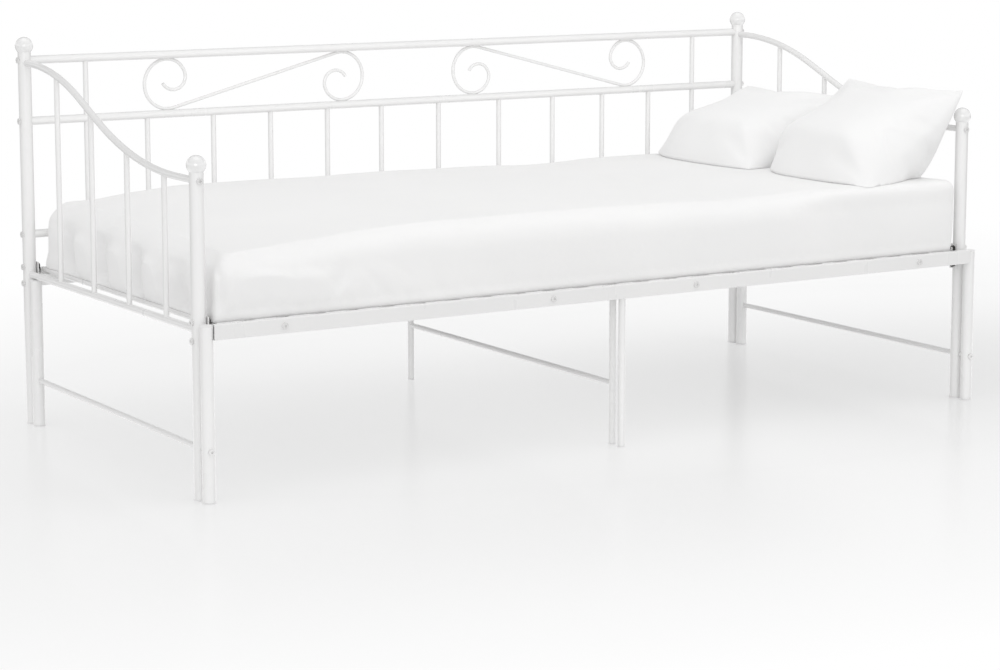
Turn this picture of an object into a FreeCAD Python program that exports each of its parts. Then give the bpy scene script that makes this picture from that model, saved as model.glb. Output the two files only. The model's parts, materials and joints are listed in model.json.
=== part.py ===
import FreeCAD, Part
import Sketcher
import math
import os
import re

# Daybed with a pull-out frame: a bolted tube frame with a back panel and two arms,
# and a second, lower frame that slides out at the front on two rods.
# +X to the sitter's left seen from the front, +Y to the back panel, +Z up.
# The origin is on the floor, under the middle of the overall box.

Vector = FreeCAD.Vector

# ---------------------------------------------------------------- driving dimensions (mm)
SIZES = {
    # posts, legs and their ends
    "post_spacing": 2040,        # between post axes, along the bed
    "post_depth": 905,           # between post axes, front to back
    "post_diameter": 30,
    "post_wall": 1.2,
    "rear_post_top": 868,
    "front_post_top": 678,
    "finial_diameter": 41,
    "finial_spigot": 12,
    "cap_spigot": 18,
    "foot_rim": 4,
    "leg_diameter": 28,
    "leg_wall": 1.2,
    "leg_gap": 7,                # between a fixed post and the pull-out leg in front of it
    "front_leg_top": 366,
    "cap_rim": 3,
    # back panel
    "back_rail_diameter": 19,
    "back_rail_wall": 1.2,
    "top_rail_level": 849,
    "middle_rail_level": 708.5,
    "lower_rail_level": 446,
    "end_bar_inset": 150,        # from the post axis to the end bar
    "spindle_diameter": 12,
    "spindle_wall": 1,
    "scroll_rod": 8,
    "scroll_inset": 595.5,       # from the post axis to the middle of a scroll
    "scroll_reach": 234.5,       # from the middle of a scroll to the centre of its loop
    "scroll_set_back": 8,        # scroll's plane behind the rails' axes
    "scroll_gap": 0.2,           # between the scroll and the rails it is welded to
    "neck_radius": 48.5,
    "neck_turn": 68,             # degrees
    "curl_radius": 31.5,
    "curl_turn": 172,
    # arms
    "arm_tube_diameter": 15,
    "arm_tube_wall": 1.2,
    "arm_rear_level": 842.5,
    "arm_front_level": 660,
    "arm_front_flat": 80,        # from the post's face
    "arm_rear_flat": 10,
    "arm_straight": 110,         # straight stretch between the two bends
    "arm_upper_share": 0.42,     # upper bend's part of both radii
    "arm_rail_diameter": 16,
    "arm_rail_wall": 1.2,
    "arm_rail_level": 353,
    "arm_front_space": 155,      # from the front post axis to the nearest arm spindle
    # base and deck
    "box_depth": 16,             # box tube of the base, front to back
    "box_height": 26,
    "box_wall": 1.2,
    "box_corner": 2,
    "deck_level": 357,           # underside of the fixed slats
    "rear_rail_rise": 10,        # rear rail's top above the deck level
    "slat_diameter": 12,
    "slat_wall": 1,
    "slat_inset": 32,            # from the post axis to the outermost slat
    "joiner_length": 160,
    "joiner_wall": 1.5,
    "plate_thickness": 2.5,
    "plate_depth": 26,
    "plate_margin": 11,          # plate beyond its bolts
    "upper_bolt_level": 370,
    "lower_bolt_level": 332,
    "tongue_rise": 11,           # tongue's underside above the lower bolt
    "tongue_height": 12,
    "tongue_length": 40,
    "middle_leg_diameter": 16,
    "stretcher_diameter": 12,
    "stretcher_level": 140,
    # pull-out frame
    "front_rail_depth": 16,
    "front_rail_height": 32.5,
    "front_rail_top": 371,
    "front_rail_lead": 2,        # rail's face in front of the legs
    "rail_end_inset": 11,        # from the leg's axis to the rail's end
    "strip_thickness": 3,
    "strip_top": 369,
    "strip_height": 26,
    "strip_margin": 12,          # strip beyond its end slats
    "inner_bolt_reach": 192,     # front rail bolts, from the middle
    "outer_bolt_reach": 850,
    "slide_rod_diameter": 12,
    "slide_rod_level": 109,
    # fasteners
    "bolt_diameter": 8,
    "bolt_head_diameter": 14,
    "bolt_head_height": 3.5,
    "bolt_socket": 5,            # hexagon socket, across corners
    "bolt_socket_depth": 2,
    "nut_diameter": 15,          # across corners
    "nut_height": 6,
    "plug_length": 20,
    # clearances
    "bolt_clearance": 0.3,       # around a bolt in its hole
    "slide_clearance": 0.4,      # around a slide rod in the post
    "deck_clearance": 0.5,       # between what slides and what stays, up and down
    "notch_width": 14,
    "rest_clearance": 0.3,       # between soft pieces and what they lie on
    # soft pieces
    "mattress_thickness": 172,
    "mattress_end_gap": 10,      # from the post's face to the mattress
    "mattress_back_gap": 3,      # from the lower back rail's face
    "mattress_front_gap": 2.5,   # from the pull-out front rail's rear face
    "mattress_corner": 60,
    "mattress_top_edge": 35,
    "mattress_bottom_edge": 18,
    "pillow_thickness": 130,
    "pillow_edge": 26,           # thickness left at the near and far edges
    "pillow_rounding": 12,
    "pillow_back_inset": 76,     # from the rear post axis to the rear pillow
    "pillow_width": 420,
    "pillow_gap": 8,             # between the two pillows
    "rear_pillow_length": 380,
    "rear_pillow_lean": 26,
    "front_pillow_length": 392,
    "front_pillow_lean": 30,
}

# back spindles: one for each number, which is how far it is welded off its even place (mm)
BACK_SPINDLE_SHIFTS = (-4, 10, 5, 3, -3, 4, 25, 30, 27, 16)
ARM_SPINDLES = 4
SLAT_SPACES = 12                 # spaces between the fixed slats; a pull-out slat runs in each

doc = FreeCAD.newDocument("Daybed")
sizes = doc.addObject("Spreadsheet::Sheet", "Sizes")
layout = doc.addObject("App::FeaturePython", "Layout")
owner = {}
nodes = []

for row, (word, number) in enumerate(SIZES.items(), 1):
    sizes.set(f"A{row}", word)
    sizes.set(f"B{row}", str(number))
    sizes.setAlias(f"B{row}", word)
    owner[word] = "Sizes." + word


# ---------------------------------------------------------------- helpers
def formula(text):
    """The expression with each size or layout word written with its owner."""
    return re.sub(r"[a-z][a-z_]*", lambda found: owner.get(found.group(), found.group()), str(text))


def derive(word, text):
    """A layout value that follows from the driving dimensions."""
    layout.addProperty("App::PropertyFloat", word, "Layout")
    layout.setExpression(word, formula(text))
    owner[word] = "Layout." + word


def value(text):
    """The formula's present value as a plain number."""
    return float(layout.evalExpression(formula(text)))


TURNS = {
    "x": FreeCAD.Rotation(Vector(0, 1, 0), 90),
    "y": FreeCAD.Rotation(Vector(1, 0, 0), -90),
    "z": FreeCAD.Rotation(),
}


def bind(item, **properties):
    for name, text in properties.items():
        item.setExpression(name, formula(text))
    return item


def place(item, at, turn=TURNS["z"]):
    item.Placement = FreeCAD.Placement(Vector(), turn)
    for axis, text in zip("xyz", at):
        item.setExpression("Placement.Base." + axis, formula(text))
    return item


def node(item, label):
    """Marks the item as a finished sub-part with this name."""
    item.Label = label
    nodes.append(item)
    return item


def cylinder(diameter, length, at, along="z"):
    """Round bar that starts at a point and runs along +x, +y or +z."""
    item = doc.addObject("Part::Cylinder", "bar")
    bind(item, Radius=f"({diameter}) / 2", Height=length)
    return place(item, at, TURNS[along])


def box(size, at):
    item = doc.addObject("Part::Box", "block")
    bind(item, Length=size[0], Width=size[1], Height=size[2])
    return place(item, at)


def group(items):
    item = doc.addObject("Part::Compound", "group")
    item.Links = list(items)
    return item


def fuse(items):
    item = doc.addObject("Part::MultiFuse", "joined")
    item.Shapes = list(items)
    return item


def cut(base, *tools):
    item = doc.addObject("Part::Cut", "trimmed")
    item.Base = base
    item.Tool = tools[0] if len(tools) == 1 else group(tools)
    return item


def tube(diameter, wall, length, at, along="z"):
    outer = cylinder(diameter, length, at, along)
    bore = cylinder(f"{diameter} - 2 * {wall}", length, at, along)
    return cut(outer, bore)


def low_end(side, near, far):
    """The lower x of a stretch from near to far on the given side."""
    return near if side > 0 else f"-({far})"


def sketch_rectangle(sketch, wide, high, tag):
    """A rectangle centred on the sketch's origin, with both sides bound to formulas."""
    x = value(wide) / 2
    y = value(high) / 2
    corners = [Vector(-x, -y), Vector(x, -y), Vector(x, y), Vector(-x, y)]
    lines = [sketch.addGeometry(Part.LineSegment(corners[i], corners[(i + 1) % 4])) for i in range(4)]
    for i in range(4):
        sketch.addConstraint(Sketcher.Constraint("Coincident", lines[i], 2, lines[(i + 1) % 4], 1))
        sketch.addConstraint(Sketcher.Constraint("Vertical" if i % 2 else "Horizontal", lines[i]))
    sketch.addConstraint(Sketcher.Constraint("Symmetric", lines[0], 1, lines[2], 1, -1, 1))
    sides = ((tag + "_wide", "DistanceX", lines[0], wide), (tag + "_high", "DistanceY", lines[1], high))
    for name, kind, line, text in sides:
        number = sketch.addConstraint(Sketcher.Constraint(kind, line, 1, line, 2, value(text)))
        sketch.renameConstraint(number, name)
        sketch.setExpression("Constraints." + name, formula(text))


def sketch_on(body, plane):
    sketch = body.newObject("Sketcher::SketchObject", "section")
    origin_plane = next(item for item in body.Origin.OriginFeatures if item.Role == plane)
    sketch.AttachmentSupport = [(origin_plane, "")]
    sketch.MapMode = "FlatFace"
    return sketch


def padded_body(plane, rectangles, length):
    """A body with one pad: the first rectangle is the outline and the second, if any, the hollow."""
    body = doc.addObject("PartDesign::Body", "body")
    sketch = sketch_on(body, plane)
    for number, (wide, high) in enumerate(rectangles):
        sketch_rectangle(sketch, wide, high, "outline" if number == 0 else "hollow")
    pad = body.newObject("PartDesign::Pad", "pad")
    pad.Profile = sketch
    bind(pad, Length=length)
    doc.recompute()
    return body


def round_edges(body, keep, radius):
    """Adds a fillet to the body's edges that pass the test."""
    tip = body.Tip
    names = [f"Edge{number}" for number, edge in enumerate(tip.Shape.Edges, 1) if keep(edge)]
    fillet = body.newObject("PartDesign::Fillet", "rounding")
    fillet.Base = (tip, names)
    bind(fillet, Radius=radius)
    doc.recompute()
    return fillet


def box_tube(depth, height, wall, length, at):
    """Rectangular tube along +x with rounded outer corners; at is its low x end on its axis."""
    inner = (f"{depth} - 2 * {wall}", f"{height} - 2 * {wall}")
    body = padded_body("YZ_Plane", [(depth, height), inner], length)
    half_depth = value(depth) / 2

    def outer_long_edge(edge):
        along_x = abs(edge.tangentAt(edge.FirstParameter).x) > 0.99
        return along_x and abs(abs(edge.CenterOfMass.y) - half_depth) < 0.01

    round_edges(body, outer_long_edge, "box_corner")
    return place(body, at)


# ---------------------------------------------------------------- layout worked out from the sizes
derive("post_x", "post_spacing / 2")
derive("post_reach", "post_diameter / 2")
derive("leg_reach", "leg_diameter / 2")
derive("leg_offset", "post_reach + leg_gap + leg_reach")
derive("front_reach", "post_depth / 2 + leg_offset + leg_reach + front_rail_lead + bolt_head_height")
derive("rear_reach", "post_depth / 2 + finial_diameter / 2")
derive("middle_shift", "(front_reach - rear_reach) / 2")
derive("rear_y", "post_depth / 2 + middle_shift")
derive("front_y", "middle_shift - post_depth / 2")
derive("rear_leg_y", "rear_y - leg_offset")
derive("front_leg_y", "front_y - leg_offset")
derive("rail_face_y", "front_leg_y - leg_reach - front_rail_lead")
derive("rail_back_y", "rail_face_y + front_rail_depth")
derive("front_rail_axis", "front_rail_top - front_rail_height / 2")
derive("box_reach", "box_depth / 2")
derive("crossbar_axis", "deck_level - deck_clearance - box_height / 2")
derive("main_rail_axis", "deck_level - box_height / 2")
derive("rear_rail_axis", "deck_level + rear_rail_rise - box_height / 2")
derive("slat_axis", "deck_level + slat_diameter / 2")
derive("moving_slat_axis", "slat_axis - deck_clearance")
derive("slat_pitch", f"2 * (post_x - slat_inset) / {SLAT_SPACES}")
derive("bracket_x", "post_x - post_reach")
derive("rail_end_x", "bracket_x - plate_thickness - nut_height - 1")
derive("end_bar_x", "post_x - end_bar_inset")
derive("spindle_pitch", f"2 * end_bar_x / {len(BACK_SPINDLE_SHIFTS) + 1}")
derive("arm_pitch", f"(post_depth - arm_front_space) / {ARM_SPINDLES}")
derive("scroll_contact", "(back_rail_diameter + scroll_rod) / 2 + scroll_gap")
derive("scroll_below_rail", "sqrt(scroll_contact ^ 2 - scroll_set_back ^ 2)")
derive("loop_radius", "(top_rail_level - middle_rail_level) / 2 - scroll_below_rail")
derive("loop_level", "(top_rail_level + middle_rail_level) / 2")
derive("finial_seat", "sqrt((finial_diameter / 2) ^ 2 - (post_diameter / 2) ^ 2)")
derive("rear_leg_top", "arm_rail_level - arm_rail_diameter / 2 - 2 * deck_clearance - cap_rim")
derive("mattress_bottom", "deck_level + slat_diameter + rest_clearance")
derive("mattress_top", "mattress_bottom + mattress_thickness")
derive("mattress_rear_y", "rear_y - back_rail_diameter / 2 - mattress_back_gap")
derive("mattress_front_y", "rail_back_y + mattress_front_gap")
doc.recompute()

SIDES = {"left": -1, "right": 1}
ENDS = {"rear": "rear_y", "front": "front_y"}


# ---------------------------------------------------------------- fasteners
def inward_bar(diameter, at, along, inward, start, end):
    """Round bar between two distances from the point, counted inwards along the axis."""
    point = list(at)
    number = "xyz".index(along)
    low = start if inward > 0 else f"-({end})"
    point[number] = f"{at[number]} + ({low})"
    return cylinder(diameter, f"({end}) - ({start})", point, along)


def bolt(at, along, inward, length, seat=None):
    """Pan-head bolt with a hexagon socket.

    at is the point under the head, on the piece's outer face; inward is +1 or -1 along the axis;
    seat is the round piece, if any, that the underside of the head is shaped to.
    """
    socket_floor = "bolt_socket_depth - bolt_head_height"
    saddle = "bolt_head_diameter / 4" if seat else "0"
    head = inward_bar("bolt_head_diameter", at, along, inward, "-bolt_head_height", saddle)
    shank = inward_bar("bolt_diameter", at, along, inward, socket_floor, length)
    socket = inward_bar("bolt_socket", at, along, inward, "-bolt_head_height", socket_floor)
    shaped = cut(head, socket, seat) if seat else cut(head, socket)
    return fuse([shaped, shank])


def nut(at, along):
    """Hexagon nut with the bolt's bore; at is its low end on the axis."""
    body = doc.addObject("Part::Prism", "nut")
    body.Polygon = 6
    bind(body, Circumradius="nut_diameter / 2", Height="nut_height")
    place(body, at, TURNS[along])
    return cut(body, cylinder("bolt_diameter", "nut_height", at, along))


def bolt_hole(length, at, along):
    return cylinder("bolt_diameter + 2 * bolt_clearance", length, at, along)


# ---------------------------------------------------------------- posts, finials, feet
def post_bar(side, y, top):
    """The solid outside of a post, used to trim what meets it."""
    return cylinder("post_diameter", top, (f"{side} * post_x", y, "0"))


POST_TOPS = {"rear": "rear_post_top", "front": "front_post_top"}
post_bars = {
    (end, name): post_bar(side, ENDS[end], POST_TOPS[end])
    for end in ENDS
    for name, side in SIDES.items()
}


def post(end, name):
    side = SIDES[name]
    x = f"{side} * post_x"
    y = ENDS[end]
    levels = ["upper_bolt_level", "lower_bolt_level"]
    if end == "rear":
        levels += ["top_rail_level", "middle_rail_level", "lower_rail_level"]
    across = f"{x} - post_diameter"
    holes = [bolt_hole("2 * post_diameter", (across, y, level), "x") for level in levels]
    if end == "front":
        start = f"{y} - post_diameter"
        holes.append(bolt_hole("2 * post_diameter", (x, start, "arm_front_level"), "y"))
        rod_hole = "slide_rod_diameter + 2 * slide_clearance"
        holes.append(cylinder(rod_hole, "2 * post_diameter", (x, start, "slide_rod_level"), "y"))
    body = tube("post_diameter", "post_wall", f"{POST_TOPS[end]} - foot_rim", (x, y, "foot_rim"))
    node(cut(body, *holes), f"post_{end}_{name}")


def finial(end, name):
    """Ball with a flat seat on the post's rim and a spigot inside the tube."""
    x = f"{SIDES[name]} * post_x"
    top = POST_TOPS[end]
    ball = doc.addObject("Part::Sphere", "ball")
    bind(ball, Radius="finial_diameter / 2", Angle1="-asin(finial_seat / (finial_diameter / 2))")
    place(ball, (x, ENDS[end], f"{top} + finial_seat"))
    spigot_at = (x, ENDS[end], f"{top} - finial_spigot")
    spigot = cylinder("post_diameter - 2 * post_wall", "finial_spigot + 1", spigot_at)
    node(fuse([ball, spigot]), f"finial_{end}_{name}")


for end in ENDS:
    for name in SIDES:
        post(end, name)
        finial(end, name)


def foot_cap(diameter, wall, x, y):
    rim = cylinder(diameter, "foot_rim", (x, y, "0"))
    spigot = cylinder(f"{diameter} - 2 * {wall}", "foot_rim + cap_spigot", (x, y, "0"))
    return fuse([rim, spigot])


main_feet = [
    foot_cap("post_diameter", "post_wall", f"{side} * post_x", y)
    for side in SIDES.values()
    for y in ENDS.values()
]
main_feet += [foot_cap("middle_leg_diameter", "box_wall", "0", y) for y in ENDS.values()]
node(group(main_feet), "main_foot_caps")


# ---------------------------------------------------------------- back panel
def back_rail(level, label):
    body = tube("back_rail_diameter", "back_rail_wall", "post_spacing", ("-post_x", "rear_y", level), "x")
    node(cut(body, post_bars["rear", "left"], post_bars["rear", "right"]), label)


BACK_LEVELS = {"top": "top_rail_level", "middle": "middle_rail_level", "lower": "lower_rail_level"}
for word, level in BACK_LEVELS.items():
    back_rail(level, f"back_{word}_rail")

rail_bars = {
    word: cylinder("back_rail_diameter", "post_spacing", ("-post_x", "rear_y", level), "x")
    for word, level in BACK_LEVELS.items()
}


def bars_between(positions, lower, upper):
    """Upright tubes between two back rails, their ends shaped to the rails."""
    start = BACK_LEVELS[lower]
    rise = f"{BACK_LEVELS[upper]} - {start}"
    tubes = [tube("spindle_diameter", "spindle_wall", rise, (x, "rear_y", start)) for x in positions]
    return [cut(item, rail_bars[lower], rail_bars[upper]) for item in tubes]


end_bar_places = ["-end_bar_x", "end_bar_x"]
end_bars = bars_between(end_bar_places, "lower", "middle") + bars_between(end_bar_places, "middle", "top")
node(group(end_bars), "back_end_bars")
spindle_places = [
    f"{i} * spindle_pitch - end_bar_x + ({shift})" for i, shift in enumerate(BACK_SPINDLE_SHIFTS, 1)
]
node(group(bars_between(spindle_places, "lower", "middle")), "back_spindles")


def rail_plug(side, level):
    """Threaded plug just inside the end of a back rail."""
    x = low_end(side, "bracket_x - plug_length", "bracket_x")
    at = (x, "rear_y", level)
    plug = cylinder("back_rail_diameter - 2 * back_rail_wall", "plug_length", at, "x")
    return cut(plug, cylinder("bolt_diameter", "plug_length", at, "x"))


plugs = [rail_plug(side, level) for side in SIDES.values() for level in BACK_LEVELS.values()]
panel_bolts = [
    bolt(
        (f"{side} * (post_x + post_reach)", "rear_y", level),
        "x",
        -side,
        "post_diameter + plug_length",
        post_bars["rear", name],
    )
    for name, side in SIDES.items()
    for level in BACK_LEVELS.values()
]


# ---------------------------------------------------------------- scrolls
def arc_edge(centre, radius, start, turn):
    """Arc in the x-z plane from an angle, turned by a signed angle, both in radians."""
    points = []
    for share in (0, 0.5, 1):
        angle = start + turn * share
        points.append(centre + Vector(math.cos(angle), 0, math.sin(angle)) * radius)
    return Part.Arc(*points).toShape()


def half_scroll():
    """From the middle of the scroll: a straight run into a loop, then a tighter neck and curl.

    The run is tangent to the loop, whose centre lies level with the middle. The loop ends at its
    foot, and each next arc starts where the last one ends, in the same direction.
    """
    loop = value("loop_radius")
    neck = value("neck_radius")
    curl = value("curl_radius")
    reach = value("scroll_reach")
    slope = math.asin(loop / reach)
    loop_centre = Vector(reach, 0, 0)
    touch_angle = math.pi / 2 + slope
    touch = loop_centre + Vector(math.cos(touch_angle), 0, math.sin(touch_angle)) * loop
    foot = -math.pi / 2
    neck_end = foot - math.radians(value("neck_turn"))
    neck_centre = loop_centre + Vector(0, 0, neck - loop)
    curl_centre = neck_centre + Vector(math.cos(neck_end), 0, math.sin(neck_end)) * (neck - curl)
    return [
        Part.makeLine(Vector(), touch),
        arc_edge(loop_centre, loop, touch_angle, foot - touch_angle),
        arc_edge(neck_centre, neck, foot, neck_end - foot),
        arc_edge(curl_centre, curl, neck_end, -math.radians(value("curl_turn"))),
    ]


def swept_rod(edges, diameter):
    path = Part.Wire(Part.__sortEdges__(edges))
    first = path.OrderedEdges[0]
    start = first.valueAt(first.FirstParameter)
    tangent = first.tangentAt(first.FirstParameter)
    circle = Part.Wire(Part.makeCircle(diameter / 2, start, tangent))
    return path.makePipeShell([circle], True, True)


def scroll(name):
    half = half_scroll()
    other = [edge.copy() for edge in half]
    for edge in other:
        edge.rotate(Vector(), Vector(0, 1, 0), 180)
    rod = swept_rod(half + other, value("scroll_rod"))
    if name == "right":
        rod = rod.mirror(Vector(), Vector(1, 0, 0))
    item = doc.addObject("Part::Feature", "scroll")
    item.Shape = rod
    centre = f"{SIDES[name]} * (post_x - scroll_inset)"
    place(item, (centre, "rear_y + scroll_set_back", "loop_level"))
    node(item, f"scroll_{name}")


for name in SIDES:
    scroll(name)


# ---------------------------------------------------------------- arms
def arm_path():
    """Top tube's line in the y-z plane: flat, bend down, straight, bend back, flat."""
    rear = value("rear_y")
    front = value("front_y")
    high = value("arm_rear_level")
    straight = value("arm_straight")
    rear_flat = value("post_reach + arm_rear_flat")
    front_flat = value("post_reach + arm_front_flat")
    span = rear - front - rear_flat - front_flat
    drop = high - value("arm_front_level")
    slope = 2 * math.atan(drop / (span + straight))
    radii = (span - straight * math.cos(slope)) / math.sin(slope)
    upper = radii * value("arm_upper_share")
    lower = radii - upper
    start = Vector(0, rear, high)
    bend = start - Vector(0, rear_flat, 0)
    points = []
    for share in (0.5, 1):
        angle = slope * share
        points.append(bend - Vector(0, math.sin(angle), 1 - math.cos(angle)) * upper)
    run_end = points[1] - Vector(0, math.cos(slope), math.sin(slope)) * straight
    finish = Vector(0, front, value("arm_front_level"))
    flat = finish + Vector(0, front_flat, 0)
    half = slope / 2
    middle = flat + Vector(0, math.sin(half), 1 - math.cos(half)) * lower
    return [
        Part.makeLine(start, bend),
        Part.Arc(bend, points[0], points[1]).toShape(),
        Part.makeLine(points[1], run_end),
        Part.Arc(run_end, middle, flat).toShape(),
        Part.makeLine(flat, finish),
    ]


def arm_level(y):
    """Height of the top tube's axis above a point of the lower rail."""
    upright = Part.makeLine(Vector(0, y, 0), Vector(0, y, value("rear_post_top")))
    nearest = Part.Wire(arm_path()).distToShape(upright)[1][0]
    return nearest[0].z


def arm_bar(side, diameter):
    item = doc.addObject("Part::Feature", "arm_bar")
    item.Shape = swept_rod(arm_path(), value(diameter))
    return place(item, (f"{side} * post_x", "0", "0"))


def arm(name):
    side = SIDES[name]
    x = f"{side} * post_x"
    posts = (post_bars["rear", name], post_bars["front", name])
    outer = arm_bar(side, "arm_tube_diameter")
    bore = arm_bar(side, "arm_tube_diameter - 2 * arm_tube_wall")
    node(cut(cut(outer, bore), *posts), f"arm_{name}_top_tube")
    rail_at = (x, "front_y", "arm_rail_level")
    rail = tube("arm_rail_diameter", "arm_rail_wall", "post_depth", rail_at, "y")
    node(cut(rail, *posts), f"arm_{name}_lower_rail")
    rail_bar = cylinder("arm_rail_diameter", "post_depth", rail_at, "y")
    spindles = []
    for i in range(ARM_SPINDLES):
        y = f"rear_y - {i + 1} * arm_pitch"
        rise = f"{arm_level(value(y))} - arm_rail_level"
        bar = tube("spindle_diameter", "spindle_wall", rise, (x, y, "arm_rail_level"))
        spindles.append(cut(bar, rail_bar, outer))
    node(group(spindles), f"arm_{name}_spindles")


for name in SIDES:
    arm(name)


def arm_plug(side):
    at = (f"{side} * post_x", "front_y + post_reach", "arm_front_level")
    plug = cylinder("arm_tube_diameter - 2 * arm_tube_wall", "plug_length", at, "y")
    return cut(plug, cylinder("bolt_diameter", "plug_length", at, "y"))


plugs += [arm_plug(side) for side in SIDES.values()]
node(group(plugs), "threaded_plugs")
panel_bolts += [
    bolt(
        (f"{side} * post_x", "front_y - post_reach", "arm_front_level"),
        "y",
        1,
        "post_diameter + plug_length",
        post_bars["front", name],
    )
    for name, side in SIDES.items()
]
node(group(panel_bolts), "panel_bolts")


# ---------------------------------------------------------------- base of the fixed frame
def bracket(end, name):
    """Plate on the post's inner face with a tongue that enters the long rail."""
    side = SIDES[name]
    y = ENDS[end]
    plate_size = (
        "plate_thickness",
        "plate_depth",
        "upper_bolt_level - lower_bolt_level + 2 * plate_margin",
    )
    plate_x = low_end(side, "bracket_x - plate_thickness", "bracket_x")
    plate = box(plate_size, (plate_x, f"{y} - plate_depth / 2", "lower_bolt_level - plate_margin"))
    tongue_depth = "box_depth - 2 * box_wall"
    tongue_x = low_end(side, "bracket_x - plate_thickness - tongue_length", "bracket_x - plate_thickness")
    tongue_at = (tongue_x, f"{y} - ({tongue_depth}) / 2", "lower_bolt_level + tongue_rise")
    tongue = box(("tongue_length", tongue_depth, "tongue_height"), tongue_at)
    hole_x = low_end(side, "bracket_x - 2 * plate_thickness", "bracket_x + plate_thickness")
    holes = [
        bolt_hole("3 * plate_thickness", (hole_x, y, level), "x")
        for level in ("upper_bolt_level", "lower_bolt_level")
    ]
    return cut(fuse([plate, tongue]), *holes)


node(group(bracket(end, name) for end in ENDS for name in SIDES), "rail_brackets")

base_bolts = []
base_nuts = []
for end, y in ENDS.items():
    for name, side in SIDES.items():
        for level in ("upper_bolt_level", "lower_bolt_level"):
            head_at = (f"{side} * (post_x + post_reach)", y, level)
            reach = "post_diameter + plate_thickness + nut_height"
            base_bolts.append(bolt(head_at, "x", -side, reach, post_bars[end, name]))
            nut_x = low_end(side, "bracket_x - plate_thickness - nut_height", "bracket_x - plate_thickness")
            base_nuts.append(nut((nut_x, y, level), "x"))
node(group(base_bolts), "base_bolts")
node(group(base_nuts), "base_nuts")


def long_rail(end, name):
    side = SIDES[name]
    y = ENDS[end]
    axis = "main_rail_axis" if end == "front" else "rear_rail_axis"
    at = (low_end(side, "0", "rail_end_x"), y, axis)
    rail = box_tube("box_depth", "box_height", "box_wall", "rail_end_x", at)
    if end == "front":
        notches = []
        for i in range(SLAT_SPACES // 2):
            x = f"{side} * {i + 0.5} * slat_pitch - notch_width / 2"
            low = (x, f"{y} - box_depth", "deck_level - 2 * deck_clearance")
            notches.append(box(("notch_width", "2 * box_depth", "box_height"), low))
        rail = cut(rail, *notches)
    node(rail, f"main_{end}_rail_{name}")


for end in ENDS:
    for name in SIDES:
        long_rail(end, name)


def joiner(depth, height, wall, y, axis):
    """Sleeve inside the two halves of a box rail, across their joint."""
    inner_depth = f"({depth} - 2 * {wall})"
    inner_height = f"({height} - 2 * {wall} - 2 * deck_clearance)"
    at = ("-joiner_length / 2", f"{y} - {inner_depth} / 2", f"{axis} - {inner_height} / 2")
    outside = box(("joiner_length", inner_depth, inner_height), at)
    hollow_depth = f"{inner_depth} - 2 * joiner_wall"
    hollow_height = f"{inner_height} - 2 * joiner_wall"
    hollow_at = (at[0], f"{at[1]} + joiner_wall", f"{at[2]} + joiner_wall")
    return cut(outside, box(("joiner_length", hollow_depth, hollow_height), hollow_at))


main_joiners = [
    joiner("box_depth", "box_height", "box_wall", "front_y", "main_rail_axis"),
    joiner("box_depth", "box_height", "box_wall", "rear_y", "rear_rail_axis"),
]
node(group(main_joiners), "main_rail_joiners")


def middle_leg(y, top, label):
    body = tube("middle_leg_diameter", "box_wall", f"{top} - foot_rim", ("0", y, "foot_rim"))
    node(body, label)


middle_leg("front_y", "main_rail_axis - box_height / 2", "main_front_middle_leg")
middle_leg("rear_y", "rear_rail_axis - box_height / 2", "main_rear_middle_leg")
middle_bars = [cylinder("middle_leg_diameter", "deck_level", ("0", y, "0")) for y in ENDS.values()]
stretcher = tube("stretcher_diameter", "box_wall", "post_depth", ("0", "front_y", "stretcher_level"), "y")
node(cut(stretcher, *middle_bars), "middle_stretcher")

fixed_slats = []
for i in range(SLAT_SPACES + 1):
    at = (f"{i - SLAT_SPACES // 2} * slat_pitch", "front_y - box_reach", "slat_axis")
    fixed_slats.append(tube("slat_diameter", "slat_wall", "post_depth", at, "y"))
node(group(fixed_slats), "main_slats")


# ---------------------------------------------------------------- pull-out frame
def leg_top(end):
    return "front_leg_top" if end == "front" else "rear_leg_top"


LEG_PLACES = {"rear": "rear_leg_y", "front": "front_leg_y"}
leg_bars = {
    (end, name): cylinder("leg_diameter", "front_rail_top", (f"{side} * post_x", LEG_PLACES[end], "0"))
    for end in LEG_PLACES
    for name, side in SIDES.items()
}


def pull_out_leg(end, name):
    x = f"{SIDES[name]} * post_x"
    y = LEG_PLACES[end]
    body = tube("leg_diameter", "leg_wall", f"{leg_top(end)} - foot_rim", (x, y, "foot_rim"))
    if end == "front":
        body = cut(body, bolt_hole("2 * leg_diameter", (x, f"{y} - leg_diameter", "slide_rod_level"), "y"))
    node(body, f"pull_out_leg_{end}_{name}")


def leg_cap(end, name):
    at = (f"{SIDES[name]} * post_x", LEG_PLACES[end], leg_top(end))
    rim = cylinder("leg_diameter", "cap_rim", at)
    spigot_at = (at[0], at[1], f"{at[2]} - cap_spigot")
    spigot = cylinder("leg_diameter - 2 * leg_wall", "cap_spigot + cap_rim", spigot_at)
    return fuse([rim, spigot])


for end in LEG_PLACES:
    for name in SIDES:
        pull_out_leg(end, name)
node(group(leg_cap(end, name) for end in LEG_PLACES for name in SIDES), "leg_top_caps")

middle_leg("front_leg_y", "front_rail_top - front_rail_height", "pull_out_middle_leg")
moving_feet = [
    foot_cap("leg_diameter", "leg_wall", f"{side} * post_x", y)
    for side in SIDES.values()
    for y in LEG_PLACES.values()
]
moving_feet.append(foot_cap("middle_leg_diameter", "box_wall", "0", "front_leg_y"))
node(group(moving_feet), "pull_out_foot_caps")

BOLT_REACHES = ("inner_bolt_reach", "outer_bolt_reach")


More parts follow.
